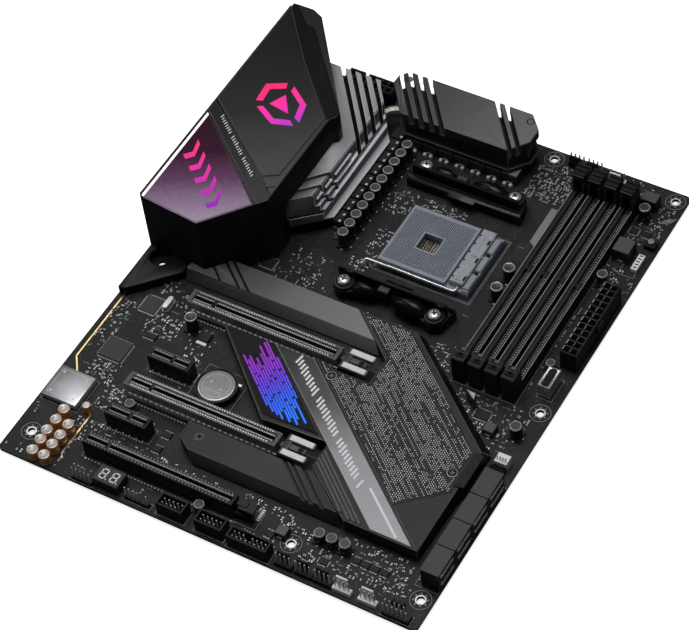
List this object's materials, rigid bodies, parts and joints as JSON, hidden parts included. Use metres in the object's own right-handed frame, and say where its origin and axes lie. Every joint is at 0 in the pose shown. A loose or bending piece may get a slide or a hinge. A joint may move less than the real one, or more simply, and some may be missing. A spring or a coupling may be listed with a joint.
{
  "type": "motherboard",
  "caption": "Full size desktop computer motherboard with processor socket, memory and expansion slots, heatsinks, rear ports and covers.",
  "frame": {"origin": "centre of the bounding box at its base, the plane that the solder posts and the socket backplate rest on", "axes": "+X from the rear port edge to the front edge, +Y from the bottom edge to the top edge, +Z out of the component side"},
  "size_m": [0.2452, 0.305, 0.05],
  "materials": {
    "audio_capacitor": "gold printed sleeve with a bare aluminium top",
    "audio_jacks": "black moulded jack block",
    "backplate": "stamped steel plate",
    "battery_holder": "black moulded plastic",
    "capacitor_can": "black printed aluminium can",
    "card_latch": "pale grey latch pads",
    "chip_package": "black moulded chip package",
    "chipset_cover": "dark grey anodised aluminium with a dotted panel",
    "circuit_board": "matt black solder mask over fibreglass, faint traces, white legend marks",
    "coin_cell": "stainless cell can",
    "cooler_bracket": "black glass filled plastic",
    "dark_heatsink": "dark grey anodised aluminium",
    "digit_display": "black two digit display",
    "drive_socket": "black moulded plastic",
    "expansion_slot": "black moulded thermoplastic",
    "fan": "black moulded blades",
    "heatpipe": "nickel plated copper pipe",
    "hidden_heatsink": "plain aluminium fins",
    "light_heatsink": "bead blasted light grey anodised aluminium",
    "light_window": "ribbed translucent bar lit violet to blue",
    "memory_latch": "black moulded plastic with ribbed thumb pad",
    "memory_slot": "black moulded thermoplastic",
    "metal_can": "pale nickel plated can",
    "pale_header": "white moulded header",
    "pin_header": "black header base with plated pins",
    "plated_metal": "tinned leads, pins and rings",
    "port_shell": "nickel plated sheet shell",
    "power_coil": "dark grey pressed powder coil",
    "power_socket": "black moulded nylon",
    "printed_marks": "white printed outlines on the board",
    "processor_socket": "blue grey liquid crystal polymer",
    "rear_cover": "satin dark grey plastic cover",
    "rear_shield": "black coated sheet steel",
    "screw": "zinc plated pan head screw",
    "slot_armour": "pressed steel shell, brushed",
    "socket_lever": "bent spring steel rod",
    "storage_heatsink": "grey anodised aluminium plate"
  },
  "bodies": {
    "board": {"atx_power_24pin": "power_socket", "audio_codec_shield": "metal_can", "audio_jack_block": "audio_jacks", "battery_holder": "battery_holder", "bracket_screw_1": "screw", "bracket_screw_2": "screw", "bracket_screw_3": "screw", "bracket_screw_4": "screw", "chipset_cover": "chipset_cover", "chipset_heatsink": "hidden_heatsink", "coin_cell": "coin_cell", "cooler_bracket_bottom": "cooler_bracket", "cooler_bracket_top": "cooler_bracket", "cpu_power_4pin": "power_socket", "cpu_power_8pin": "power_socket", "debug_display": "digit_display", "dimm_slot_1": "memory_slot", "dimm_slot_2": "memory_slot", "dimm_slot_3": "memory_slot", "dimm_slot_4": "memory_slot", "display_port_block": "port_shell", "front_usb_c_header": "port_shell", "io_shield": "rear_shield", "io_shroud": "rear_cover", "lan_usb_stack": "port_shell", "led_light_window": "light_window", "m2_heatsink_lower": "storage_heatsink", "m2_heatsink_upper": "storage_heatsink", "pcb": "circuit_board", "pcie_armour_1": "slot_armour", "pcie_armour_2": "slot_armour", "pcie_x16_slot_1": "expansion_slot", "pcie_x16_slot_2": "expansion_slot", "pcie_x16_slot_3": "expansion_slot", "pcie_x1_slot_1": "expansion_slot", "pcie_x1_slot_2": "expansion_slot", "sata_stack_1": "drive_socket", "sata_stack_2": "drive_socket", "sata_stack_3": "drive_socket", "sata_stack_4": "drive_socket", "socket_backplate": "backplate", "socket_base": "processor_socket", "usb_stack_1": "port_shell", "usb_stack_2": "port_shell", "usb_stack_3": "port_shell", "vrm_heatpipe": "heatpipe", "vrm_heatsink_left": "light_heatsink", "vrm_heatsink_top": "dark_heatsink"},
    "socket_cover": {"socket_cover": "processor_socket"},
    "socket_lever": {"socket_lever": "socket_lever"},
    "chipset_fan": {"chipset_fan_rotor": "fan"},
    "memory_latch_1": {"dimm_latch_1": "memory_latch"},
    "memory_latch_2": {"dimm_latch_2": "memory_latch"},
    "memory_latch_3": {"dimm_latch_3": "memory_latch"},
    "memory_latch_4": {"dimm_latch_4": "memory_latch"},
    "card_latch_1": {"pcie_latch_1": "card_latch"},
    "card_latch_2": {"pcie_latch_2": "card_latch"},
    "card_latch_3": {"pcie_latch_3": "card_latch"}
  },
  "joints": [
    {"name": "socket_lever_turn", "type": "hinge", "parent": "board", "child": "socket_lever", "pos_m": [0.0411, 0.0367, 0.0075], "axis": [0, 1, 0], "range_deg": [0, 90]},
    {"name": "socket_cover_slide", "type": "slide", "parent": "board", "child": "socket_cover", "axis": [1, 0, 0], "range_m": [0, 0.001]},
    {"name": "chipset_fan_spin", "type": "hinge", "parent": "board", "child": "chipset_fan", "pos_m": [0.0656, -0.0535, 0.0062], "axis": [0, 0, 1], "continuous": true},
    {"name": "memory_latch_1_swing", "type": "hinge", "parent": "board", "child": "memory_latch_1", "pos_m": [0.0696, 0.1295, 0.0085], "axis": [-1, 0, 0], "range_deg": [0, 30]},
    {"name": "memory_latch_2_swing", "type": "hinge", "parent": "board", "child": "memory_latch_2", "pos_m": [0.07905, 0.1295, 0.0085], "axis": [-1, 0, 0], "range_deg": [0, 30]},
    {"name": "memory_latch_3_swing", "type": "hinge", "parent": "board", "child": "memory_latch_3", "pos_m": [0.0885, 0.1295, 0.0085], "axis": [-1, 0, 0], "range_deg": [0, 30]},
    {"name": "memory_latch_4_swing", "type": "hinge", "parent": "board", "child": "memory_latch_4", "pos_m": [0.09795, 0.1295, 0.0085], "axis": [-1, 0, 0], "range_deg": [0, 30]},
    {"name": "card_latch_1_press", "type": "hinge", "parent": "board", "child": "card_latch_1", "pos_m": [0.0161, -0.0305, 0.0085], "axis": [0, 1, 0], "range_deg": [0, 15]},
    {"name": "card_latch_2_press", "type": "hinge", "parent": "board", "child": "card_latch_2", "pos_m": [0.0161, -0.09146, 0.0085], "axis": [0, 1, 0], "range_deg": [0, 15]},
    {"name": "card_latch_3_press", "type": "hinge", "parent": "board", "child": "card_latch_3", "pos_m": [0.0161, -0.1321, 0.0085], "axis": [0, 1, 0], "range_deg": [0, 15]}
  ],
  "couplings": [
    {"joint": "socket_cover_slide", "follows": "socket_lever_turn", "m_per_rad": 0.0006366}
  ]
}
